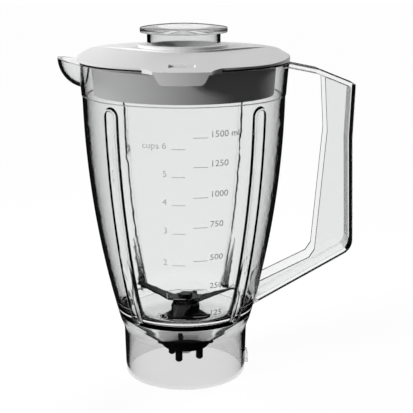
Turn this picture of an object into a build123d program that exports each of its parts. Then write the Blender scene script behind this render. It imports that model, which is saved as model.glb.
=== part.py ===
from build123d import *
import os
from math import cos, radians, sin, sqrt, tan

# Clear blender jar with its blade unit, lid and measuring cap, in millimetres, +Z up.
# The origin is the centre of the skirt's bottom rim, on the jar's axis.
# The handle points to +X, the spout to -X, and the tab of the lid to -Y.

os.makedirs("parts", exist_ok=True)

# Jar: skirt, body and collar
SKIRT_R = 44.0
SKIRT_TOP_R = 44.7
SKIRT_WALL = 2.7
SKIRT_H = 33.8
SOCKET_H = 6.5
SOCKET_DRAFT = 0.3
BODY_WALL = 3.0
BODY_LOW_Z = 40.8
BODY_LOW_R = 47.4
BODY_MID_Z = 120.8
BODY_MID_R = 63.9
BODY_TOP_Z = 203.3
BODY_TOP_R = 70.2
COLLAR_STEP = 0.5
COLLAR_WALL = 2.6
COLLAR_H = 22.1
COLLAR_FLARE = 1.7
SHOULDER_FILLET = 4.0
CORNER_FILLET = 18.0

# Jar: floor
FLOOR_Z = 34.7
FLOOR_T = 3.0
FLOOR_FLAT_R = 21.5
FLOOR_CORNER_Z = 51.4
FLOOR_FILLET = 18.0

# Jar: four flutes with a rib that grows towards the floor
FLUTE_COUNT = 4
FLUTE_AZIMUTH = 45.0
FLUTE_W = 9.0
FLUTE_DEPTH = 2.8
FLUTE_NOSE = 3.0
FLUTE_WALL = 2.5
FLUTE_DROP = 4.5
FLUTE_LOW_Z = 46.0
RIB_W = 6.4
RIB_NOSE = 2.6
RIB_TOP_Z = 94.8
RIB_REACH = 10.6

# Jar: spout
SPOUT_INSET = 6.4
SPOUT_R = 20.5
SPOUT_DEPTH = 21.0
SPOUT_TIP_RISE = 3.2
SPOUT_WALL = 2.4

# Jar: handle, a channel that is open towards the body
HANDLE_W = 22.0
HANDLE_SIDE = 2.5
HANDLE_WEB = 3.0
STRAP_DROP = 1.0
KNEE_X = 92.0
KNEE_DROP = 5.2
GRIP_TOP_X = 118.0
GRIP_TOP_DROP = 15.6
GRIP_WAIST = (117.0, 171.8)
HEEL = (120.0, 92.0)
ARM_ROOT_Z = 50.8
SIDE_TOP_X = 96.7
SIDE_WAIST = (99.3, 177.8)
SIDE_LOW = (92.7, 91.8)
ARM_EDGE = (88.9, 85.8)
ARM_EDGE_ROOT_Z = 67.8
HEEL_FILLET = 12.0

# Jar: locking lug on the skirt, under the handle
LUG_W = 10.0
LUG_H = 7.4
LUG_Z = 7.1
LUG_OUT = 2.0

# Blade unit: housing, seal and clamp nut
NECK_R = 11.4
NECK_DROP = 7.6
NECK_CLEARANCE = 0.4
SEAL_T = 1.2
SEAL_R = 18.0
FLANGE_R = 19.2
FLANGE_EDGE = 1.4
FLANGE_RISE = 7.2
HUB_R = 10.5
HUB_H = 13.3
HUB_FILLET = 2.0
CLAMP_R = 19.3
CLAMP_H = 6.6
CLAMP_NOTCHES = 8
CLAMP_NOTCH_R = 2.2
THREAD_CLEARANCE = 0.15

# Blade unit: shaft and bearings
SHAFT_R = 4.0
SHAFT_SQUARE = 5.6
STUD_R = 2.5
BUSH_R = 6.6
BUSH_H = 8.0
BUSH_CLEARANCE = 0.04
LIP_H = 4.0
RUN_GAP = 0.3
WASHER_R = 8.5
WASHER_T = 1.0
CLIP_R = 6.6
CLIP_T = 0.9
GROOVE_R = 3.2
CLIP_MOUTH = 4.4
FIT_CLEARANCE = 0.1

# Blade unit: crossed blades
BLADE_T = 1.5
BLADE_HUB_R = 9.0
BLADE_ROOT_W = 13.0
BLADE_TIP_W = 4.5
BLADE_BEVEL = 4.0
BLADE_BEND_R = 11.0
BLADE_PITCH = -18.0
UPPER_TIP_R = 35.0
UPPER_BEND_ANGLE = 21.0
UPPER_AZIMUTH = -14.0
LOWER_TIP_R = 31.0
LOWER_BEND_ANGLE = -11.0
LOWER_AZIMUTH = 76.0
SPACER_T = 1.2
SPACER_R = 7.0
BLADE_NUT_FLATS = 9.0
BLADE_NUT_H = 2.4

# Blade unit: drive coupling
COUPLING_R = 16.8
COUPLING_T = 3.0
COUPLING_GAP = 0.5
BOSS_R = 6.2
BOSS_H = 3.0
PEG_COUNT = 4
PEG_AZIMUTH = 63.5
PEG_CIRCLE_R = 11.2
PEG_R = 2.6
PEG_H = 10.0
PEG_TIP = 1.0
COUPLING_NUT_FLATS = 8.0
COUPLING_NUT_H = 3.5
STUD_END = 0.5

# Lid with its front panel and tab
LID_SEAL_T = 1.2
LID_SEAL_GAP = 1.4
LID_SEAL_INSET = 0.8
LID_OVERHANG = 0.5
LID_EDGE = 3.0
DOME_INSET = 6.9
DOME_RISE = 7.0
DOME_TOP_RISE = 8.8
RING_R = 31.0
RING_RISE = 1.8
LID_WALL = 2.4
PLUG_GAP = 4.3
PLUG_TAPER = 1.4
PLUG_WALL = 2.2
PLUG_DEPTH = 22.4
CREST_RISE = 7.8
CREST_R = 34.0
CREST_TURN = 43.0
PANEL_EDGE = 1.29
TAB_REACH = 8.1
TAB_W = 36.0
TAB_ROOT_W = 63.0
TAB_ROOT_IN = 1.0
TAB_FLARE = 24.0
TAB_T = 1.8
TAB_CLEARANCE = 0.8
LIP_T = 2.4
LIP_DROP = 8.2
LIP_LOW_W = 27.0
LIP_FILLET = 4.0
RECESS_W = 17.0
RECESS_L = 8.0
RECESS_INSET = 14.5
RECESS_DEPTH = 1.3
LID_TURN = -2.1

# Measuring cap
CAP_R = 25.2
CAP_WALL = 2.3
CAP_CLEARANCE = 0.4
CAP_DEPTH = 6.3
CAP_DISC_R = 30.0
CAP_DISC_T = 3.6
CAP_RISE = 24.4
CAP_CROWN = 2.4
CAP_FILLET = 0.9
SEAT_LIP = 2.2
SEAT_T = 1.6

# Cutters run past the faces that they cut by OVER, and the least land beside a round is EDGE
OVER = 5.0
EDGE = 0.1

# Heights and radii that follow from the driving dimensions
rim_z = BODY_TOP_Z + COLLAR_H
collar_r = BODY_TOP_R + COLLAR_STEP
rim_r = collar_r + COLLAR_FLARE
flute_top_z = BODY_TOP_Z - FLUTE_DROP
floor_under = FLOOR_Z - FLOOR_T
flange_z = FLOOR_Z + SEAL_T
hub_top = flange_z + HUB_H
neck_low = floor_under - NECK_DROP
shaft_shoulder = hub_top + RUN_GAP
lower_blade_z = shaft_shoulder + WASHER_T
spacer_z = lower_blade_z + BLADE_T
upper_blade_z = spacer_z + SPACER_T
blade_nut_z = upper_blade_z + BLADE_T
washer_low_z = neck_low - RUN_GAP - WASHER_T
clip_z = washer_low_z - CLIP_T
coupling_top = clip_z - COUPLING_GAP
coupling_z = coupling_top - COUPLING_T
boss_z = coupling_z - BOSS_H
coupling_nut_z = boss_z - COUPLING_NUT_H
lid_z = rim_z + LID_SEAL_T
lid_r = rim_r + LID_OVERHANG
tab_r = lid_r + TAB_REACH
crest_z = lid_z + CREST_RISE
cap_low_z = lid_z - CAP_DEPTH
cap_top_z = lid_z + CAP_RISE


def body_radius(z):
    """Outer radius of the body at height z, on the parabola through its three driving radii."""
    points = ((BODY_LOW_Z, BODY_LOW_R), (BODY_MID_Z, BODY_MID_R), (BODY_TOP_Z, BODY_TOP_R))
    radius = 0.0
    for here_z, here_r in points:
        share = here_r
        for other_z, _ in points:
            if other_z != here_z:
                share *= (z - other_z) / (here_z - other_z)
        radius += share
    return radius


def wall_arc(low_z, top_z, inset):
    """Arc along the body's wall, moved towards the axis by inset."""
    heights = (low_z, (low_z + top_z) / 2, top_z)
    return ThreePointArc(*[(body_radius(z) - inset, z) for z in heights])


def radial_plane(azimuth):
    """Upright plane through the axis: its x runs outwards and its y runs up."""
    turn = radians(azimuth)
    return Plane((0, 0, 0), x_dir=(cos(turn), sin(turn), 0), z_dir=(sin(turn), -cos(turn), 0))


def flute_planes():
    """The radial planes of the flutes."""
    return [radial_plane(FLUTE_AZIMUTH + i * 360 / FLUTE_COUNT) for i in range(FLUTE_COUNT)]


def flute_form(plane, depth, width, nose, low_z, top_z):
    """Bar along the wall: its round nose lies inside the outer surface by depth, its ends are round."""
    outer_r = body_radius(top_z) + OVER
    with BuildPart() as form:
        with BuildSketch(plane):
            with BuildLine():
                inner_side = wall_arc(low_z, top_z, depth)
                Polyline(inner_side @ 1, (outer_r, top_z), (outer_r, low_z), inner_side @ 0)
            make_face()
        extrude(amount=width / 2, both=True)
        fillet(form.edges().filter_by(Axis((0, 0, 0), plane.x_dir)), width / 2 - EDGE)
        nose_face = form.faces().sort_by_distance(Vector(0, 0, top_z / 2))[0]
        fillet(nose_face.edges(), nose)
    return form.part


def rib_form(plane):
    """Upright rib that leaves the ridge at its top and leans in towards the floor."""
    wall_r = body_radius(RIB_TOP_Z) - FLUTE_DEPTH - FLUTE_WALL
    low_r = body_radius(FLOOR_CORNER_Z) - BODY_WALL - RIB_REACH
    with BuildPart() as form:
        with BuildSketch(plane):
            with BuildLine():
                Polyline((low_r, FLOOR_Z), (wall_r, RIB_TOP_Z), (wall_r + EDGE, FLOOR_Z), close=True)
            make_face()
        extrude(amount=RIB_W / 2, both=True)
        nose_face = form.faces().sort_by_distance(Vector(0, 0, FLOOR_CORNER_Z))[0]
        fillet(nose_face.edges().filter_by(Axis((0, 0, 0), plane.z_dir), reverse=True), RIB_NOSE)
    return form.part


def moved_in(points, distance):
    """The open outline moved to its right by distance, with mitred corners."""
    spots = [Vector(*point) for point in points]
    sides = []
    for here, there in zip(spots, spots[1:]):
        along = (there - here).normalized()
        sides.append(Vector(along.Y, -along.X))
    sides = [sides[0]] + sides + [sides[-1]]
    moved = []
    for spot, before, after in zip(spots, sides, sides[1:]):
        middle = (before + after).normalized()
        moved.append(spot + middle * (distance / middle.dot(before)))
    return [(spot.X, spot.Y) for spot in moved]


# Jar, outer form
with BuildPart() as jar_outside:
    with BuildSketch(Plane.XZ) as outside_half:
        with BuildLine():
            outer_wall = wall_arc(BODY_LOW_Z, BODY_TOP_Z, 0)
            Polyline(
                outer_wall @ 1,
                (collar_r, BODY_TOP_Z),
                (rim_r, rim_z),
                (0, rim_z),
                (0, 0),
                (SKIRT_R, 0),
                (SKIRT_TOP_R, SKIRT_H),
                outer_wall @ 0,
            )
        make_face()
        fillet(outside_half.vertices().sort_by_distance((SKIRT_TOP_R, SKIRT_H))[0], SHOULDER_FILLET)
        fillet(outside_half.vertices().sort_by_distance((BODY_LOW_R, BODY_LOW_Z))[0], CORNER_FILLET)
    revolve(axis=Axis.Z)
    with Locations((SKIRT_R, 0, LUG_Z)):
        Box(2 * LUG_OUT, LUG_W, LUG_H)

# Jar, flutes: outside grooves, the ridges that they leave inside, and the ribs on the ridges
ridge_depth = FLUTE_DEPTH + FLUTE_WALL
ridge_w = FLUTE_W + 2 * FLUTE_WALL
ridge_nose = FLUTE_NOSE + FLUTE_WALL / 2
ridge_top_z = flute_top_z + FLUTE_WALL
grooves = []
ridges = []
ribs = []
for plane in flute_planes():
    grooves.append(flute_form(plane, FLUTE_DEPTH, FLUTE_W, FLUTE_NOSE, FLUTE_LOW_Z, flute_top_z))
    ridges.append(flute_form(plane, ridge_depth, ridge_w, ridge_nose, FLOOR_Z, ridge_top_z))
    ribs.append(rib_form(plane))

# Jar, hollow above the floor, with the ridges and ribs left standing
collar_low_r = collar_r - COLLAR_WALL
collar_top_r = rim_r - COLLAR_WALL
floor_corner_r = body_radius(FLOOR_CORNER_Z) - BODY_WALL
with BuildPart() as jar_hollow:
    with BuildSketch(Plane.XZ) as hollow_half:
        with BuildLine():
            inner_wall = wall_arc(FLOOR_CORNER_Z, BODY_TOP_Z, BODY_WALL)
            Polyline(
                inner_wall @ 1,
                (collar_low_r, BODY_TOP_Z),
                (collar_top_r, rim_z),
                (collar_top_r, rim_z + OVER),
                (0, rim_z + OVER),
                (0, FLOOR_Z),
                (FLOOR_FLAT_R, FLOOR_Z),
                inner_wall @ 0,
            )
        make_face()
        fillet(hollow_half.vertices().sort_by_distance((floor_corner_r, FLOOR_CORNER_Z))[0], FLOOR_FILLET)
    revolve(axis=Axis.Z)
    add(ridges, mode=Mode.SUBTRACT)
    add(ribs, mode=Mode.SUBTRACT)

# Jar, hollow under the floor: a round socket at the mouth of the skirt, with a drafted wall above it
socket_r = SKIRT_R - SKIRT_WALL
skirt_in_r = socket_r - SOCKET_DRAFT
dish_slope = (FLOOR_CORNER_Z - FLOOR_Z) / (floor_corner_r - FLOOR_FLAT_R)
with BuildPart() as skirt_hollow:
    with BuildSketch(Plane.XZ):
        with BuildLine():
            Polyline(
                (0, -OVER),
                (socket_r, -OVER),
                (socket_r, SOCKET_H),
                (skirt_in_r, floor_under + dish_slope * (skirt_in_r - FLOOR_FLAT_R)),
                (FLOOR_FLAT_R, floor_under),
                (0, floor_under),
                close=True,
            )
        make_face()
    revolve(axis=Axis.Z)

# Jar, spout: a round bowl on the collar, with a rim that rises from the lid's edge to its tip
spout_x = rim_r - SPOUT_INSET
spout_axis = Axis((-spout_x, 0, 0), (0, 0, 1))
spout_tip_z = rim_z + SPOUT_TIP_RISE
spout_reach = spout_x + SPOUT_R - lid_r
spout_rim = Plane((-lid_r, 0, rim_z), x_dir=(0, 1, 0), z_dir=(SPOUT_TIP_RISE, 0, spout_reach))


def bowl(radius, depth):
    """Lower half of a round bowl on the spout's axis, hung from the height of the tip."""
    with BuildSketch(Plane.XZ) as half:
        with BuildLine():
            centre = (-spout_x, spout_tip_z)
            edge = EllipticalCenterArc(centre, radius, depth, start_angle=180, arc_size=90)
            Polyline(edge @ 1, centre, edge @ 0)
        make_face()
    revolve(half.sketch, axis=spout_axis)


with BuildPart() as spout_outside:
    bowl(SPOUT_R, SPOUT_DEPTH)
    split(bisect_by=spout_rim, keep=Keep.BOTTOM)
with BuildPart() as spout_hollow:
    bowl(SPOUT_R - SPOUT_WALL, SPOUT_DEPTH - SPOUT_WALL)

# Jar, handle: side walls and a web along their outer edge
strap_root = (rim_r - COLLAR_WALL / 2, rim_z - STRAP_DROP)
strap_knee = (KNEE_X, rim_z - KNEE_DROP)
grip_top = (GRIP_TOP_X, rim_z - GRIP_TOP_DROP)
arm_root = (body_radius(ARM_ROOT_Z) - BODY_WALL / 2, ARM_ROOT_Z)
arm_edge_root = (body_radius(ARM_EDGE_ROOT_Z) - BODY_WALL / 2, ARM_EDGE_ROOT_Z)
handle_back = [strap_root, strap_knee, grip_top, GRIP_WAIST, HEEL, arm_root]
channel_back = moved_in(handle_back, HANDLE_WEB)
strap_share = (SIDE_TOP_X - channel_back[1][0]) / (channel_back[2][0] - channel_back[1][0])
side_top_z = channel_back[1][1] + strap_share * (channel_back[2][1] - channel_back[1][1])
handle_front = [arm_edge_root, ARM_EDGE, SIDE_LOW, SIDE_WAIST, (SIDE_TOP_X, side_top_z)]
handle_front += [channel_back[1], channel_back[0]]
with BuildPart() as handle_form:
    with BuildSketch(Plane.XZ) as handle_side:
        with BuildLine():
            Polyline(*handle_back, *handle_front, close=True)
        make_face()
        fillet(handle_side.vertices().sort_by_distance(HEEL)[0], HEEL_FILLET)
    extrude(amount=HANDLE_W / 2, both=True)
    with BuildSketch(Plane.XZ) as channel_side:
        with BuildLine():
            Polyline(*channel_back, close=True)
        make_face()
        fillet(channel_side.vertices().sort_by_distance(channel_back[4])[0], HEEL_FILLET - HANDLE_WEB)
    extrude(amount=HANDLE_W / 2 - HANDLE_SIDE, both=True, mode=Mode.SUBTRACT)

# Jar: one clear moulding
with BuildPart() as jar:
    add(jar_outside.part)
    add(spout_outside.part)
    add(handle_form.part)
    add(jar_hollow.part, mode=Mode.SUBTRACT)
    add(skirt_hollow.part, mode=Mode.SUBTRACT)
    add(spout_hollow.part, mode=Mode.SUBTRACT)
    add(grooves, mode=Mode.SUBTRACT)
    with Locations((0, 0, FLOOR_Z)):
        Cylinder(NECK_R + NECK_CLEARANCE, 2 * FLOOR_T + OVER, mode=Mode.SUBTRACT)
jar.part.label = "jar"
export_step(jar.part, "parts/jar.step")

# Flat seal between the floor and the housing's flange
with BuildPart() as housing_seal:
    with BuildSketch(Plane.XY.offset(FLOOR_Z)):
        Circle(SEAL_R)
        Circle(NECK_R + NECK_CLEARANCE, mode=Mode.SUBTRACT)
    extrude(amount=SEAL_T)
housing_seal.part.label = "housing_seal"
export_step(housing_seal.part, "parts/housing_seal.step")

# Bearing housing: flange on the floor, hub above it, neck through the floor
with BuildPart() as bearing_housing:
    with BuildSketch(Plane.XZ) as housing_half:
        with BuildLine():
            Polyline(
                (BUSH_R, neck_low),
                (NECK_R, neck_low),
                (NECK_R, flange_z),
                (FLANGE_R, flange_z),
                (FLANGE_R, flange_z + FLANGE_EDGE),
                (HUB_R, flange_z + FLANGE_RISE),
                (HUB_R, hub_top),
                (BUSH_R, hub_top),
                close=True,
            )
        make_face()
        fillet(housing_half.vertices().sort_by_distance((HUB_R, hub_top))[0], HUB_FILLET)
    revolve(axis=Axis.Z)
bearing_housing.part.label = "bearing_housing"
export_step(bearing_housing.part, "parts/bearing_housing.step")

# Clamp nut on the neck, under the floor, with finger notches round its edge
with BuildPart() as clamp_nut:
    with BuildSketch(Plane.XY.offset(floor_under - CLAMP_H)):
        Circle(CLAMP_R)
        Circle(NECK_R + THREAD_CLEARANCE, mode=Mode.SUBTRACT)
    extrude(amount=CLAMP_H)
    with BuildSketch(Plane.XY.offset(floor_under - CLAMP_H)):
        with PolarLocations(CLAMP_R + CLAMP_NOTCH_R / 2, CLAMP_NOTCHES):
            Circle(CLAMP_NOTCH_R)
    extrude(amount=CLAMP_H / 2, mode=Mode.SUBTRACT)
clamp_nut.part.label = "clamp_nut"
export_step(clamp_nut.part, "parts/clamp_nut.step")


def sleeve(low_z, height, inner_r):
    """Ring that fills the housing's bore from low_z upwards."""
    with BuildSketch(Plane.XY.offset(low_z)) as ring:
        Circle(BUSH_R)
        Circle(inner_r, mode=Mode.SUBTRACT)
    extrude(ring.sketch, amount=height)


# Plain bearings at both ends of the housing's bore, with the lip seal under the upper one
with BuildPart() as upper_bush:
    sleeve(hub_top - BUSH_H, BUSH_H, SHAFT_R + BUSH_CLEARANCE)
upper_bush.part.label = "upper_bush"
export_step(upper_bush.part, "parts/upper_bush.step")

with BuildPart() as shaft_seal:
    sleeve(hub_top - BUSH_H - LIP_H, LIP_H, SHAFT_R + BUSH_CLEARANCE)
shaft_seal.part.label = "shaft_seal"
export_step(shaft_seal.part, "parts/shaft_seal.step")

with BuildPart() as lower_bush:
    sleeve(neck_low, BUSH_H, SHAFT_R + BUSH_CLEARANCE)
lower_bush.part.label = "lower_bush"
export_step(lower_bush.part, "parts/lower_bush.step")

# Drive shaft: journal with a clip groove, a square at each end, and a stud past each square
upper_square_top = blade_nut_z - FIT_CLEARANCE
lower_square_low = boss_z + FIT_CLEARANCE
with BuildPart() as drive_shaft:
    with BuildSketch(Plane.XY.offset(coupling_top)):
        Circle(SHAFT_R)
    extrude(amount=shaft_shoulder - coupling_top)
    with BuildSketch(Plane.XY.offset(clip_z)):
        Circle(SHAFT_R)
        Circle(GROOVE_R, mode=Mode.SUBTRACT)
    extrude(amount=CLIP_T, mode=Mode.SUBTRACT)
    with BuildSketch(Plane.XY.offset(shaft_shoulder)):
        Rectangle(SHAFT_SQUARE, SHAFT_SQUARE)
    extrude(amount=upper_square_top - shaft_shoulder)
    with BuildSketch(Plane.XY.offset(lower_square_low)):
        Rectangle(SHAFT_SQUARE, SHAFT_SQUARE)
    extrude(amount=coupling_top - lower_square_low)
    with BuildSketch(Plane.XY.offset(coupling_nut_z - STUD_END)):
        Circle(STUD_R)
    extrude(amount=blade_nut_z + BLADE_NUT_H / 2 - coupling_nut_z + STUD_END)
drive_shaft.part.label = "drive_shaft"
export_step(drive_shaft.part, "parts/drive_shaft.step")


def square_ring(low_z, outer_r, height):
    """Round plate with the shaft's square hole."""
    with BuildSketch(Plane.XY.offset(low_z)) as ring:
        Circle(outer_r)
        Rectangle(SHAFT_SQUARE + FIT_CLEARANCE, SHAFT_SQUARE + FIT_CLEARANCE, mode=Mode.SUBTRACT)
    extrude(ring.sketch, amount=height)


def blade_section(plane, width):
    """Section of a wing: flat underneath, with a cutting bevel along its leading edge."""
    with BuildSketch(plane) as section:
        with BuildLine():
            Polyline(
                (-width / 2, 0),
                (width / 2, 0),
                (width / 2, BLADE_T),
                (-width / 2 + BLADE_BEVEL * width / BLADE_ROOT_W, BLADE_T),
                (-width / 2, BLADE_T / 3),
                close=True,
            )
        make_face()
    return section.sketch.face()


def blade_wing(low_z, azimuth, bend, tip_r):
    """One wing: level at the hub, then bent and pitched out to its narrow tip."""
    turn = radians(azimuth)
    out = Vector(cos(turn), sin(turn), 0)
    across = Vector(-sin(turn), cos(turn), 0)
    rise = tan(radians(bend))
    twist = radians(BLADE_PITCH)
    pitched = across * cos(twist) + Vector(0, 0, 1) * sin(twist)
    root = out * (SHAFT_SQUARE / 2 + FIT_CLEARANCE + BLADE_T) + Vector(0, 0, low_z)
    knee = out * BLADE_BEND_R + Vector(0, 0, low_z)
    tip = out * tip_r + Vector(0, 0, low_z + (tip_r - BLADE_BEND_R) * rise)
    sections = [
        blade_section(Plane(root, x_dir=across, z_dir=out), BLADE_ROOT_W),
        blade_section(Plane(knee, x_dir=across, z_dir=out), BLADE_ROOT_W),
        blade_section(Plane(tip, x_dir=pitched, z_dir=out), BLADE_TIP_W),
    ]
    loft(sections, ruled=True)


# Crossed blades: a pair of wings bent down, and a pair bent up
with BuildPart() as lower_blade:
    square_ring(lower_blade_z, BLADE_HUB_R, BLADE_T)
    for half_turn in (0, 180):
        blade_wing(lower_blade_z, LOWER_AZIMUTH + half_turn, LOWER_BEND_ANGLE, LOWER_TIP_R)
lower_blade.part.label = "lower_blade"
export_step(lower_blade.part, "parts/lower_blade.step")

with BuildPart() as upper_blade:
    square_ring(upper_blade_z, BLADE_HUB_R, BLADE_T)
    for half_turn in (0, 180):
        blade_wing(upper_blade_z, UPPER_AZIMUTH + half_turn, UPPER_BEND_ANGLE, UPPER_TIP_R)
upper_blade.part.label = "upper_blade"
export_step(upper_blade.part, "parts/upper_blade.step")

# Rings on the shaft: the washers run on the housing's ends, the spacer parts the blades
with BuildPart() as thrust_washer:
    square_ring(shaft_shoulder, WASHER_R, WASHER_T)
thrust_washer.part.label = "thrust_washer"
export_step(thrust_washer.part, "parts/thrust_washer.step")

with BuildPart() as blade_spacer:
    square_ring(spacer_z, SPACER_R, SPACER_T)
blade_spacer.part.label = "blade_spacer"
export_step(blade_spacer.part, "parts/blade_spacer.step")

with BuildPart() as lower_washer:
    with BuildSketch(Plane.XY.offset(washer_low_z)):
        Circle(WASHER_R)
        Circle(SHAFT_R + FIT_CLEARANCE, mode=Mode.SUBTRACT)
    extrude(amount=WASHER_T)
lower_washer.part.label = "lower_washer"
export_step(lower_washer.part, "parts/lower_washer.step")

with BuildPart() as retaining_clip:
    with BuildSketch(Plane.XY.offset(clip_z)):
        Circle(CLIP_R)
        Circle(GROOVE_R + FIT_CLEARANCE, mode=Mode.SUBTRACT)
        with Locations((CLIP_R, 0)):
            Rectangle(2 * CLIP_R, CLIP_MOUTH, mode=Mode.SUBTRACT)
    extrude(amount=CLIP_T)
retaining_clip.part.label = "retaining_clip"
export_step(retaining_clip.part, "parts/retaining_clip.step")

# Cap nut on top of the blades, and the nut under the coupling
with BuildPart() as blade_nut:
    with BuildSketch(Plane.XY.offset(blade_nut_z)):
        RegularPolygon(BLADE_NUT_FLATS / 2, 6, major_radius=False)
    extrude(amount=BLADE_NUT_H)
    chamfer(blade_nut.faces().sort_by(Axis.Z)[-1].edges(), BLADE_NUT_H / 5)
    with BuildSketch(Plane.XY.offset(blade_nut_z)):
        Circle(STUD_R + FIT_CLEARANCE)
    extrude(amount=BLADE_NUT_H / 2 + FIT_CLEARANCE, mode=Mode.SUBTRACT)
blade_nut.part.label = "blade_nut"
export_step(blade_nut.part, "parts/blade_nut.step")

with BuildPart() as coupling_nut:
    with BuildSketch(Plane.XY.offset(coupling_nut_z)):
        RegularPolygon(COUPLING_NUT_FLATS / 2, 6, major_radius=False)
        Circle(STUD_R + FIT_CLEARANCE, mode=Mode.SUBTRACT)
    extrude(amount=COUPLING_NUT_H)
coupling_nut.part.label = "coupling_nut"
export_step(coupling_nut.part, "parts/coupling_nut.step")

# Drive coupling: disc and boss on the shaft's square, with round pegs that the drive turns
with BuildPart() as drive_coupling:
    square_ring(coupling_z, COUPLING_R, COUPLING_T)
    square_ring(boss_z, BOSS_R, BOSS_H)
    with BuildSketch(Plane.XY.offset(coupling_z - PEG_H)):
        with PolarLocations(PEG_CIRCLE_R, PEG_COUNT, start_angle=PEG_AZIMUTH):
            Circle(PEG_R)
    extrude(amount=PEG_H)
    chamfer(drive_coupling.faces().group_by(Axis.Z)[0].edges(), PEG_TIP)
drive_coupling.part.label = "drive_coupling"
export_step(drive_coupling.part, "parts/drive_coupling.step")

# Lid: hanging lip at the front of the tab
with BuildPart() as lip_form:
    with BuildSketch(Plane.XZ.offset(tab_r - LIP_T - OVER)) as lip_front:
        with BuildLine():
            Polyline(
                (-TAB_W / 2, crest_z),
                (-TAB_W / 2, lid_z),
                (-LIP_LOW_W / 2, lid_z - LIP_DROP),
                (LIP_LOW_W / 2, lid_z - LIP_DROP),
                (TAB_W / 2, lid_z),
                (TAB_W / 2, crest_z),
                close=True,
            )
        make_face()
        fillet(lip_front.vertices().group_by(Axis.Z)[0], LIP_FILLET)
    extrude(amount=LIP_T + 2 * OVER)
    with Locations((0, 0, lid_z)):
        Cylinder(tab_r, 2 * (CREST_RISE + LIP_DROP), mode=Mode.INTERSECT)
        Cylinder(tab_r - LIP_T, 2 * (CREST_RISE + LIP_DROP), mode=Mode.SUBTRACT)

# Lid: space above the front panel, which falls away from a bent crest line to the rim
crest_turn = radians(CREST_TURN)
crest_run = sqrt(tab_r * tab_r - CREST_R * CREST_R) + OVER
panel_run = tab_r - CREST_R + OVER
panel_drop = (CREST_RISE - PANEL_EDGE) / (lid_r - CREST_R)
crest_front = Vector(0, -CREST_R, crest_z)
crest_right = crest_front.rotate(Axis.Z, CREST_TURN)
crest_left = crest_front.rotate(Axis.Z, -CREST_TURN)
right_end = crest_right + Vector(cos(crest_turn), sin(crest_turn), 0) * crest_run
left_end = crest_left + Vector(-cos(crest_turn), sin(crest_turn), 0) * crest_run
crest_start = Plane(right_end, x_dir=(sin(crest_turn), -cos(crest_turn), 0), z_dir=crest_right - right_end)
with BuildPart() as panel_space:
    with BuildLine() as crest:
        Line(right_end, crest_right)
        ThreePointArc(crest_right, crest_front, crest_left)
        Line(crest_left, left_end)
    with BuildSketch(crest_start):
        with BuildLine():
            Polyline(
                (0, 0),
                (panel_run, -panel_run * panel_drop),
                (panel_run, 2 * OVER),
                (0, 2 * OVER),
                close=True,
            )
        make_face()
    sweep(path=crest.line)

# Lid: dome with a ring round its hole, a plug that fills the jar's mouth, and the tab
hole_r = CAP_R + CAP_CLEARANCE
plug_top_r = min(collar_low_r, collar_top_r) - PLUG_GAP
plug_low_r = plug_top_r - PLUG_TAPER
plug_low_z = lid_z - PLUG_DEPTH
dome_r = lid_r - DOME_INSET
dome_z = lid_z + DOME_RISE
dome_top_z = lid_z + DOME_TOP_RISE
tab_root_y = -sqrt(lid_r * lid_r - TAB_ROOT_W * TAB_ROOT_W / 4) + TAB_ROOT_IN
tab_front_y = -sqrt(tab_r * tab_r - TAB_W * TAB_W / 4)
tab_low_z = crest_z - (tab_r - CREST_R) * panel_drop - TAB_T
under_ring_z = crest_z - LID_WALL
under_plug_z = crest_z - LID_WALL - (plug_top_r - PLUG_WALL - CREST_R) * panel_drop
with BuildPart() as lid_form:
    with BuildSketch(Plane.XZ):
        with BuildLine():
            dome_mid = ((dome_r + RING_R) / 2, (dome_z + 3 * dome_top_z) / 4)
            dome = ThreePointArc((dome_r, dome_z), dome_mid, (RING_R, dome_top_z))
            Polyline(
                dome @ 1,
                (RING_R, dome_top_z + RING_RISE),
                (hole_r, dome_top_z + RING_RISE),
                (hole_r, cap_low_z),
                (hole_r - SEAT_LIP, cap_low_z),
                (hole_r - SEAT_LIP, cap_low_z - SEAT_T),
                (hole_r + LID_WALL, cap_low_z - SEAT_T),
                (hole_r + LID_WALL, under_ring_z),
                (CREST_R, under_ring_z),
                (plug_top_r - PLUG_WALL, under_plug_z),
                (plug_low_r - PLUG_WALL, plug_low_z),
                (plug_low_r, plug_low_z),
                (plug_top_r, lid_z),
                (lid_r, lid_z),
                (lid_r, lid_z + LID_EDGE),
                dome @ 0,
            )
        make_face()
    revolve(axis=Axis.Z)
    with BuildSketch(Plane.XY.offset(tab_low_z)):
        with BuildLine():
            front = ThreePointArc((-TAB_W / 2, tab_front_y), (0, -tab_r), (TAB_W / 2, tab_front_y))
            right = RadiusArc(front @ 1, (TAB_ROOT_W / 2, tab_root_y), TAB_FLARE)
            left = RadiusArc(front @ 0, (-TAB_ROOT_W / 2, tab_root_y), -TAB_FLARE)
            Polyline(right @ 1, (0, -dome_r), left @ 1)
        make_face()
    extrude(amount=crest_z - tab_low_z)
    with BuildSketch(Plane.XY.offset(tab_low_z)):
        Circle(rim_r + TAB_CLEARANCE)
        Circle(plug_top_r, mode=Mode.SUBTRACT)
    extrude(amount=lid_z - tab_low_z, mode=Mode.SUBTRACT)
    add(lip_form.part)
    add(panel_space.part, mode=Mode.SUBTRACT)
    recess_r = tab_r - RECESS_INSET
    recess_z = crest_z - (recess_r - CREST_R) * panel_drop
    recess_spot = Plane((0, -recess_r, recess_z), x_dir=(1, 0, 0), z_dir=(0, -panel_drop, 1))
    with BuildSketch(recess_spot):
        RectangleRounded(RECESS_W, RECESS_L, RECESS_DEPTH)
    extrude(amount=-RECESS_DEPTH, mode=Mode.SUBTRACT)
with BuildPart() as lid:
    add(lid_form.part, rotation=(0, 0, LID_TURN))
lid.part.label = "lid"
export_step(lid.part, "parts/lid.step")

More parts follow.
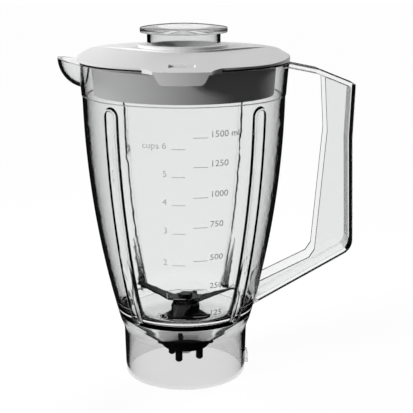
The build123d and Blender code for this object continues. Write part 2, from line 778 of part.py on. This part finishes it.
# Seal between the lid's flange and the jar's rim
with BuildPart() as lid_seal:
    with BuildSketch(Plane.XY.offset(rim_z)):
        Circle(rim_r - LID_SEAL_INSET)
        Circle(plug_top_r + LID_SEAL_GAP, mode=Mode.SUBTRACT)
    extrude(amount=LID_SEAL_T)
lid_seal.part.label = "lid_seal"
export_step(lid_seal.part, "parts/lid_seal.step")

# Measuring cap: a cup that stands in the lid's hole upside down, with a wide crowned disc on top
cap_edge_z = cap_top_z - CAP_CROWN
with BuildPart() as measuring_cap:
    with BuildSketch(Plane.XZ) as cap_half:
        with BuildLine():
            crown_mid_z = cap_top_z - CAP_CROWN / 4
            crown = ThreePointArc((0, cap_top_z), (CAP_DISC_R / 2, crown_mid_z), (CAP_DISC_R, cap_edge_z))
            Polyline(
                crown @ 1,
                (CAP_DISC_R, cap_edge_z - CAP_DISC_T),
                (CAP_R, cap_edge_z - CAP_DISC_T),
                (CAP_R, cap_low_z),
                (CAP_R - CAP_WALL, cap_low_z),
                (CAP_R - CAP_WALL, cap_edge_z - CAP_DISC_T),
                (0, cap_edge_z - CAP_DISC_T + CAP_CROWN),
                crown @ 0,
            )
        make_face()
        rim_corners = cap_half.vertices().sort_by(Axis.X)[-2:]
        fillet(rim_corners, CAP_FILLET)
    revolve(axis=Axis.Z)
measuring_cap.part.label = "measuring_cap"
export_step(measuring_cap.part, "parts/measuring_cap.step")
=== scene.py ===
import math

import bpy
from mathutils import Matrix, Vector


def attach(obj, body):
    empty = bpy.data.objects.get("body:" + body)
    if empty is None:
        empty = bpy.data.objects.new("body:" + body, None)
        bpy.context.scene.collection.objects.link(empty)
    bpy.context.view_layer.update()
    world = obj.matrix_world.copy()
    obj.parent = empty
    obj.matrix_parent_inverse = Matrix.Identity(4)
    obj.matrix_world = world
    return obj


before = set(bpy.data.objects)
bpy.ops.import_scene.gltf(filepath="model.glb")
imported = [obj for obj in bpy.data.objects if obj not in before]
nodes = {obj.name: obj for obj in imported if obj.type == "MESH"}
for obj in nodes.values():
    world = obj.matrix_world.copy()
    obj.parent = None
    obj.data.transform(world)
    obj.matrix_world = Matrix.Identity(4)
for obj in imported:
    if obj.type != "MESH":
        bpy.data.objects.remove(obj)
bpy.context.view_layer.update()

MM = 0.001

# Camera: distance from the jar's axis, height, turns that aim it as in the photo, and lens in millimetres
CAMERA_REACH = 661 * MM
CAMERA_HEIGHT = 292.2 * MM
CAMERA_AZIMUTH = math.radians(-1.0)
CAMERA_YAW = math.radians(1.35)
CAMERA_PITCH = math.radians(14.45)
CAMERA_LENS = 83.07
CAMERA_SENSOR = 36.0

# Stage: sizes in metres, and levels where 1 is white
FLOOR_SIZE = 12.0
FLOOR_SHADE = 0.12
FLOOR_GLOW = 0.93
FILL_LEVEL = 0.05

# Flag, in metres: a dark card that lies on the floor round the jar and stands up in a ring at its edge
FLAG_SIDES = 48
FLAG_NEAR = 0.046
FLAG_REACH = 1.6
FLAG_LIFT = 0.5 * MM
FLAG_HEIGHT = 0.4
FLAG_SHADE = 0.01

# A ray whose glossy depth is above this limit has met a mirror
MIRROR_LIMIT = 0.5

# Relief and noise of all surfaces: strength of a bump, and the values that noise mostly lies between
RELIEF_STRENGTH = 0.3
NOISE_RANGE = (0.3, 0.7)

# Clear plastic: tints, refractive indices, soft edges, slight waves, and how much lamp light gets through
JAR_TINT = (0.955, 0.96, 0.96)
JAR_IOR = 1.49
CAP_TINT = (0.89, 0.895, 0.895)
CAP_IOR = 1.53
MOULD_EDGE = 0.8 * MM
EDGE_SAMPLES = 6
WAVE_SCALE = 40.0
WAVE_DETAIL = 1.0
WAVE_STRETCH = (1.0, 1.0, 0.35)
WAVE_DEPTH = 0.006 * MM
WALL_SHADE = 0.86

# Painted shade: the skirt is drawn greyer than the body, standing in for the shade inside it, and this
# painted shade fades out between these heights
SKIRT_PAINTED_SHADE = (0.76, 0.76, 0.76)
SKIRT_SHADE_FADE = (31 * MM, 37 * MM)

# Opaque plastic: noise scales, how far roughness strays from its own value, and what gloss is left
FINE_GRAIN = 2500.0
RUBBER_GRAIN = 1500.0
GRAINS_PER_PATCH = 20
GRAIN_SPREAD = (0.85, 1.15)
GRAIN_GLOSS = 0.03

# Metal: its fine lines as noise, which is drawn out along the axis that has the small scale
BRUSH_SCALE = 900.0
BRUSH_DETAIL = 4.0
BRUSH_DEPTH = 0.02 * MM
BRUSH_SPREAD = (0.8, 1.25)
ALONG_BLADE = (1.0, 0.08, 1.0)
ALONG_SHAFT = (1.0, 1.0, 0.05)

# Volume scale on the front wall: value and height in millimetres of each line
ML_ROWS = ((125, 57.0), (250, 78.4), (500, 99.7), (750, 123.5), (1000, 144.3), (1250, 164.7), (1500, 183.9))
CUP_ROWS = ((0.5, 55.1), (1, 71.3), (2, 96.6), (3, 119.4), (4, 139.3), (5, 158.2), (6, 176.6))

# Volume scale: where lines and numbers start or end along the wall, counted to the right from its middle
ML_LINE = (4.4 * MM, 13.9 * MM)
ML_TEXT = 15.3 * MM
CUP_LINE = (-9.4 * MM, -0.7 * MM)
CUP_TEXT = -12.8 * MM

# Volume scale: its strokes, how far they reach into the wall and out of it, and their opacity
LINE_H = 0.4 * MM
LINE_STEPS = 8
TEXT_H = 4.2 * MM
TEXT_STRETCH = 1.05
TEXT_RISE = 0.5 * MM
CURVE_STEPS = 3
HALF_UNIT = 0.5
MARK_LOW = -0.05 * MM
MARK_HIGH = 0.15 * MM
MARK_COVER = 0.6


def grey(level):
    """A colour without hue."""
    return (level, level, level)


def new_material(name):
    """A node material with an empty tree: returns the material, its tree and its output node."""
    material = bpy.data.materials.new(name)
    material.use_nodes = True
    tree = material.node_tree
    tree.nodes.clear()
    output = tree.nodes.new("ShaderNodeOutputMaterial")
    return material, tree, output


def principled(tree, colour, roughness, **settings):
    """A Principled shader with its constants set on its own sockets."""
    shader = tree.nodes.new("ShaderNodeBsdfPrincipled")
    shader.inputs["Base Color"].default_value = (*colour, 1.0)
    shader.inputs["Roughness"].default_value = roughness
    for socket, value in settings.items():
        shader.inputs[socket.replace("_", " ")].default_value = value
    return shader


def larger(tree, first, second):
    """A socket with the larger value of two sockets."""
    node = tree.nodes.new("ShaderNodeMath")
    node.operation = "MAXIMUM"
    tree.links.new(first, node.inputs[0])
    tree.links.new(second, node.inputs[1])
    return node.outputs["Value"]


def mix_shaders(tree, share, first, second):
    """A shader socket that goes from the first shader to the second as share goes from 0 to 1."""
    mix = tree.nodes.new("ShaderNodeMixShader")
    tree.links.new(share, mix.inputs["Fac"])
    tree.links.new(first, mix.inputs[1])
    tree.links.new(second, mix.inputs[2])
    return mix.outputs["Shader"]


def noise(tree, scale, detail=3.0, stretch=(1.0, 1.0, 1.0)):
    """Noise in the object's own coordinates, stretched along its axes; returns the noise node."""
    place = tree.nodes.new("ShaderNodeTexCoord")
    mapping = tree.nodes.new("ShaderNodeMapping")
    mapping.inputs["Scale"].default_value = stretch
    texture = tree.nodes.new("ShaderNodeTexNoise")
    texture.inputs["Scale"].default_value = scale
    texture.inputs["Detail"].default_value = detail
    tree.links.new(place.outputs["Object"], mapping.inputs["Vector"])
    tree.links.new(mapping.outputs["Vector"], texture.inputs["Vector"])
    return texture


def add_bump(tree, shader, texture, depth):
    """Surface relief from a texture, depth in metres; returns the bump node."""
    bump = tree.nodes.new("ShaderNodeBump")
    bump.inputs["Strength"].default_value = RELIEF_STRENGTH
    bump.inputs["Distance"].default_value = depth
    tree.links.new(texture.outputs["Fac"], bump.inputs["Height"])
    tree.links.new(bump.outputs["Normal"], shader.inputs["Normal"])
    return bump


def vary_roughness(tree, shader, texture, roughness, spread):
    """Lets a texture take the roughness between two multiples of its own value."""
    share = tree.nodes.new("ShaderNodeMapRange")
    share.inputs["From Min"].default_value = NOISE_RANGE[0]
    share.inputs["From Max"].default_value = NOISE_RANGE[1]
    share.inputs["To Min"].default_value = roughness * spread[0]
    share.inputs["To Max"].default_value = roughness * spread[1]
    tree.links.new(texture.outputs["Fac"], share.inputs["Value"])
    tree.links.new(share.outputs["Result"], shader.inputs["Roughness"])


def fade_colour(tree, socket, heights, low_colour, high_colour):
    """Colours a socket by height in the object's own frame, from low_colour to high_colour."""
    place = tree.nodes.new("ShaderNodeTexCoord")
    split = tree.nodes.new("ShaderNodeSeparateXYZ")
    share = tree.nodes.new("ShaderNodeMapRange")
    share.inputs["From Min"].default_value = heights[0]
    share.inputs["From Max"].default_value = heights[1]
    ramp = tree.nodes.new("ShaderNodeValToRGB")
    ramp.color_ramp.elements[0].color = (*low_colour, 1.0)
    ramp.color_ramp.elements[1].color = (*high_colour, 1.0)
    tree.links.new(place.outputs["Object"], split.inputs["Vector"])
    tree.links.new(split.outputs["Z"], share.inputs["Value"])
    tree.links.new(share.outputs["Result"], ramp.inputs["Fac"])
    tree.links.new(ramp.outputs["Color"], socket)


def clear_plastic(name, tint, roughness, ior, skirt_painted_shade=None):
    """Clear moulded plastic. To lamp light and diffuse light it is a pale filter, so that they reach what
    stands behind it. The skirt's grey, when given, is painted shade: it is drawn darker towards its foot."""
    material, tree, output = new_material(name)
    shader = principled(tree, tint, roughness, IOR=ior, Transmission_Weight=1.0)
    if skirt_painted_shade:
        # painted shade: the skirt is drawn darker towards its foot, for the shade inside it
        fade_colour(tree, shader.inputs["Base Color"], SKIRT_SHADE_FADE, skirt_painted_shade, tint)
    waves = noise(tree, WAVE_SCALE, WAVE_DETAIL, WAVE_STRETCH)
    bump = add_bump(tree, shader, waves, WAVE_DEPTH)
    edges = tree.nodes.new("ShaderNodeBevel")
    edges.samples = EDGE_SAMPLES
    edges.inputs["Radius"].default_value = MOULD_EDGE
    tree.links.new(edges.outputs["Normal"], bump.inputs["Normal"])
    pale = tree.nodes.new("ShaderNodeBsdfTransparent")
    pale.inputs["Color"].default_value = (*grey(WALL_SHADE), 1.0)
    path = tree.nodes.new("ShaderNodeLightPath")
    light = larger(tree, path.outputs["Is Shadow Ray"], path.outputs["Is Diffuse Ray"])
    both = mix_shaders(tree, light, shader.outputs["BSDF"], pale.outputs["BSDF"])
    tree.links.new(both, output.inputs["Surface"])
    return material


def solid_plastic(name, colour, roughness, grain, depth, cover=1.0):
    """Plastic or rubber with a fine grain, which takes away most of its gloss; cover is its opacity."""
    material, tree, output = new_material(name)
    shader = principled(tree, colour, roughness, Specular_IOR_Level=GRAIN_GLOSS, Alpha=cover)
    add_bump(tree, shader, noise(tree, grain), depth)
    vary_roughness(tree, shader, noise(tree, grain / GRAINS_PER_PATCH), roughness, GRAIN_SPREAD)
    tree.links.new(shader.outputs["BSDF"], output.inputs["Surface"])
    return material


def brushed_metal(name, colour, roughness, stretch):
    """Metal with fine lines: the noise is drawn out along them."""
    material, tree, output = new_material(name)
    shader = principled(tree, colour, roughness, Metallic=1.0)
    lines = noise(tree, BRUSH_SCALE, BRUSH_DETAIL, stretch)
    add_bump(tree, shader, lines, BRUSH_DEPTH)
    vary_roughness(tree, shader, lines, roughness, BRUSH_SPREAD)
    tree.links.new(shader.outputs["BSDF"], output.inputs["Surface"])
    return material


def dress(material, *names):
    """Gives the CAD nodes of these names this material."""
    for name in names:
        nodes[name].data.materials.clear()
        nodes[name].data.materials.append(material)


def dress_solids():
    """Gives every CAD node its material."""
    # the jar's skirt gets painted shade, darker towards its foot
    jar_clear = clear_plastic("jar_clear", JAR_TINT, roughness=0.01, ior=JAR_IOR, skirt_painted_shade=SKIRT_PAINTED_SHADE)
    cap_clear = clear_plastic("cap_clear", CAP_TINT, roughness=0.02, ior=CAP_IOR)
    lid_white = solid_plastic("lid_white", grey(0.87), roughness=0.38, grain=FINE_GRAIN, depth=0.01 * MM)
    unit_black = solid_plastic("unit_black", grey(0.005), roughness=0.4, grain=FINE_GRAIN, depth=0.015 * MM)
    rubber = solid_plastic("seal_rubber", grey(0.02), roughness=0.7, grain=RUBBER_GRAIN, depth=0.02 * MM)
    blade_steel = brushed_metal("blade_steel", (0.012, 0.012, 0.013), roughness=0.32, stretch=ALONG_BLADE)
    shaft_steel = brushed_metal("shaft_steel", (0.5, 0.5, 0.51), roughness=0.28, stretch=ALONG_SHAFT)
    bronze = brushed_metal("bush_bronze", (0.5, 0.33, 0.16), roughness=0.35, stretch=ALONG_SHAFT)
    dress(jar_clear, "jar")
    dress(cap_clear, "measuring_cap")
    dress(lid_white, "lid")
    dress(unit_black, "bearing_housing", "clamp_nut", "drive_coupling")
    dress(rubber, "lid_seal", "housing_seal", "shaft_seal")
    dress(blade_steel, "upper_blade", "lower_blade", "blade_nut")
    dress(shaft_steel, "drive_shaft", "thrust_washer", "lower_washer", "blade_spacer", "coupling_nut")
    dress(shaft_steel, "retaining_clip")
    dress(bronze, "upper_bush", "lower_bush")


def make_mesh(name, points, faces, material):
    """An object of these points and faces, in the scene."""
    mesh = bpy.data.meshes.new(name)
    mesh.from_pydata(points, [], faces)
    mesh.materials.append(material)
    made = bpy.data.objects.new(name, mesh)
    bpy.context.scene.collection.objects.link(made)
    return made


def flat_text(label):
    """Points and faces of a label in the built-in font, one unit thick, from the start of its baseline."""
    curve = bpy.data.curves.new("label", "FONT")
    curve.body = label
    curve.extrude = HALF_UNIT
    curve.resolution_u = CURVE_STEPS
    letters = bpy.data.objects.new("label", curve)
    mesh = bpy.data.meshes.new_from_object(letters)
    points = [(corner.co.x, corner.co.y, corner.co.z + HALF_UNIT) for corner in mesh.vertices]
    faces = [tuple(face.vertices) for face in mesh.polygons]
    bpy.data.objects.remove(letters)
    bpy.data.curves.remove(curve)
    bpy.data.meshes.remove(mesh)
    return points, faces


def text_scale():
    """Scale that makes a digit of the built-in font TEXT_H high."""
    heights = [up for across, up, out in flat_text("0")[0]]
    return TEXT_H / (max(heights) - min(heights))


def flat_label(label, scale, left=None, right=None):
    """Points and faces of a label at this scale that starts at left or ends at right."""
    points, faces = flat_text(label)
    sized = [(across * scale * TEXT_STRETCH, up * scale + TEXT_RISE, out) for across, up, out in points]
    width = max(across for across, up, out in sized)
    start = right - width if left is None else left
    return [(start + across, up, out) for across, up, out in sized], faces


def flat_line(start, end):
    """Points and faces of a line of the scale, one unit thick and cut into steps so that it can bend."""
    section = ((0, 0), (LINE_H, 0), (LINE_H, 1), (0, 1))
    sides = len(section)
    points = []
    for i in range(LINE_STEPS + 1):
        across = start + (end - start) * i / LINE_STEPS
        points += [(across, up, out) for up, out in section]
    faces = []
    for here in range(0, sides * LINE_STEPS, sides):
        there = here + sides
        for j in range(sides):
            k = (j + 1) % sides
            faces.append((there + j, there + k, here + k, here + j))
    last = sides * LINE_STEPS
    faces.append(tuple(range(sides)))
    faces.append(tuple(reversed(range(last, last + sides))))
    return points, faces


def wall_radius(z):
    """Radius of the jar's outer wall in front, at height z."""
    place = nodes["jar"].ray_cast((0, -FLOOR_SIZE, z), (0, 1, 0))[1]
    return -place.y


def bend(flat, z):
    """Lays flat points round the front wall at height z, from just inside its surface to just outside."""
    bent = []
    for across, up, out in flat:
        reach = wall_radius(z + up) + MARK_LOW + out * (MARK_HIGH - MARK_LOW)
        turn = across / wall_radius(z)
        bent.append((reach * math.sin(turn), -reach * math.cos(turn), z + up))
    return bent


def make_scale():
    """Lines and numbers of the volume scale, as one mesh that rides on the jar. The top number of each
    column has its unit beside it."""
    bpy.context.view_layer.update()
    scale = text_scale()
    strokes = []
    for value, height in ML_ROWS:
        label = f"{value} ml" if value == ML_ROWS[-1][0] else f"{value}"
        strokes.append((flat_line(*ML_LINE), height * MM))
        strokes.append((flat_label(label, scale, left=ML_TEXT), height * MM))
    for value, height in CUP_ROWS:
        label = f"cups {value}" if value == CUP_ROWS[-1][0] else f"{value}"
        strokes.append((flat_line(*CUP_LINE), height * MM))
        strokes.append((flat_label(label, scale, right=CUP_TEXT), height * MM))
    points = []
    faces = []
    for (flat, sides), z in strokes:
        first = len(points)
        points += bend(flat, z)
        faces += [[first + corner for corner in side] for side in sides]
    material = solid_plastic(
        "mark_grey", grey(0.8), roughness=0.4, grain=FINE_GRAIN, depth=0.005 * MM, cover=MARK_COVER
    )
    marks = make_mesh("volume_scale", points, faces, material)
    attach(marks, "jar")


def make_camera():
    """Camera at the photo's viewing angle."""
    data = bpy.data.cameras.new("camera")
    data.lens = CAMERA_LENS
    data.sensor_width = CAMERA_SENSOR
    camera = bpy.data.objects.new("camera", data)
    bpy.context.scene.collection.objects.link(camera)
    side = CAMERA_REACH * math.sin(CAMERA_AZIMUTH)
    back = CAMERA_REACH * math.cos(CAMERA_AZIMUTH)
    camera.location = (side, -back, CAMERA_HEIGHT)
    camera.rotation_euler = (math.pi / 2 - CAMERA_PITCH, 0, CAMERA_AZIMUTH - CAMERA_YAW)
    bpy.context.scene.camera = camera


def seen_directly(tree):
    """A socket that is 1 for rays from the camera, a mirror or clear plastic, and 0 for other light."""
    path = tree.nodes.new("ShaderNodeLightPath")
    seen = larger(tree, path.outputs["Is Camera Ray"], path.outputs["Is Glossy Ray"])
    return larger(tree, seen, path.outputs["Is Transmission Ray"])


def make_world():
    """White studio: it shows as white, and lights the object at a lower level."""
    world = bpy.data.worlds.new("studio")
    bpy.context.scene.world = world
    world.use_nodes = True
    tree = world.node_tree
    tree.nodes.clear()
    output = tree.nodes.new("ShaderNodeOutputWorld")
    shown = tree.nodes.new("ShaderNodeBackground")
    shown.inputs["Strength"].default_value = 1.0
    fill = tree.nodes.new("ShaderNodeBackground")
    fill.inputs["Strength"].default_value = FILL_LEVEL
    for background in (shown, fill):
        background.inputs["Color"].default_value = (*grey(1.0), 1.0)
    both = mix_shaders(tree, seen_directly(tree), fill.outputs["Background"], shown.outputs["Background"])
    tree.links.new(both, output.inputs["Surface"])


def make_floor():
    """Pale floor that keeps a soft shadow of the object."""
    material, tree, output = new_material("floor_pale")
    matte = tree.nodes.new("ShaderNodeBsdfDiffuse")
    matte.inputs["Color"].default_value = (*grey(FLOOR_SHADE), 1.0)
    glow = tree.nodes.new("ShaderNodeEmission")
    glow.inputs["Color"].default_value = (*grey(1.0), 1.0)
    strength = tree.nodes.new("ShaderNodeMath")
    strength.operation = "MULTIPLY"
    strength.inputs[1].default_value = FLOOR_GLOW
    both = tree.nodes.new("ShaderNodeAddShader")
    tree.links.new(seen_directly(tree), strength.inputs[0])
    tree.links.new(strength.outputs["Value"], glow.inputs["Strength"])
    tree.links.new(matte.outputs["BSDF"], both.inputs[0])
    tree.links.new(glow.outputs["Emission"], both.inputs[1])
    tree.links.new(both.outputs["Shader"], output.inputs["Surface"])
    half = FLOOR_SIZE / 2
    corners = [(-half, -half, 0), (half, -half, 0), (half, half, 0), (-half, half, 0)]
    floor = make_mesh("floor", corners, [(0, 1, 2, 3)], material)


def make_flag():
    """Dark card on the floor round the jar, with an upright ring at its edge. Only rays that have met a
    mirror on their way, such as the inner side of a clear wall, see it: so clear edges are drawn dark, and
    the view straight through the jar stays white."""
    material, tree, output = new_material("flag_dark")
    matte = tree.nodes.new("ShaderNodeBsdfDiffuse")
    matte.inputs["Color"].default_value = (*grey(FLAG_SHADE), 1.0)
    clear = tree.nodes.new("ShaderNodeBsdfTransparent")
    path = tree.nodes.new("ShaderNodeLightPath")
    mirrored = tree.nodes.new("ShaderNodeMath")
    mirrored.operation = "GREATER_THAN"
    mirrored.inputs[1].default_value = MIRROR_LIMIT
    tree.links.new(path.outputs["Glossy Depth"], mirrored.inputs[0])
    both = mix_shaders(tree, mirrored.outputs["Value"], clear.outputs["BSDF"], matte.outputs["BSDF"])
    tree.links.new(both, output.inputs["Surface"])
    rings = ((FLAG_NEAR, FLAG_LIFT), (FLAG_REACH, FLAG_LIFT), (FLAG_REACH, FLAG_HEIGHT))
    points = []
    faces = []
    for i in range(FLAG_SIDES):
        turn = 2 * math.pi * i / FLAG_SIDES
        points += [(reach * math.cos(turn), reach * math.sin(turn), height) for reach, height in rings]
        here = i * len(rings)
        there = (i + 1) % FLAG_SIDES * len(rings)
        faces += [(here + j, here + j + 1, there + j + 1, there + j) for j in range(len(rings) - 1)]
    flag = make_mesh("flag", points, faces, material)
    flag.visible_camera = False
    flag.visible_diffuse = False
    flag.visible_shadow = False


def make_sun(name, towards, spread, power):
    """Soft light from far away: towards points at it, and spread is its width in degrees. Clear and shiny
    surfaces show no image of it."""
    data = bpy.data.lights.new(name, "SUN")
    data.angle = math.radians(spread)
    data.energy = power
    sun = bpy.data.objects.new(name, data)
    bpy.context.scene.collection.objects.link(sun)
    sun.rotation_euler = Vector(towards).to_track_quat("Z", "Y").to_euler()
    sun.visible_glossy = False
    sun.visible_transmission = False


def make_softbox(name, place, target, size, power):
    """Square lamp of this size and power at a place, turned towards its target. The camera doesn't see it,
    and clear and shiny surfaces show no image of it."""
    data = bpy.data.lights.new(name, "AREA")
    data.size = size
    data.energy = power
    lamp = bpy.data.objects.new(name, data)
    bpy.context.scene.collection.objects.link(lamp)
    lamp.location = place
    lamp.rotation_euler = (Vector(place) - Vector(target)).to_track_quat("Z", "Y").to_euler()
    lamp.visible_camera = False
    lamp.visible_glossy = False
    lamp.visible_transmission = False


dress_solids()
make_scale()
make_camera()
make_world()
make_floor()
make_flag()
make_softbox("key", place=(-0.3, 0.045, 0.55), target=(0, 0, 0.23), size=0.15, power=0.92)
make_sun("front", towards=(-0.85, -0.47, 0.22), spread=10.0, power=2.15)
make_sun("back", towards=(0.6, 0.75, 0.28), spread=20.0, power=3.0)

scene = bpy.context.scene
scene.view_settings.view_transform = "Standard"
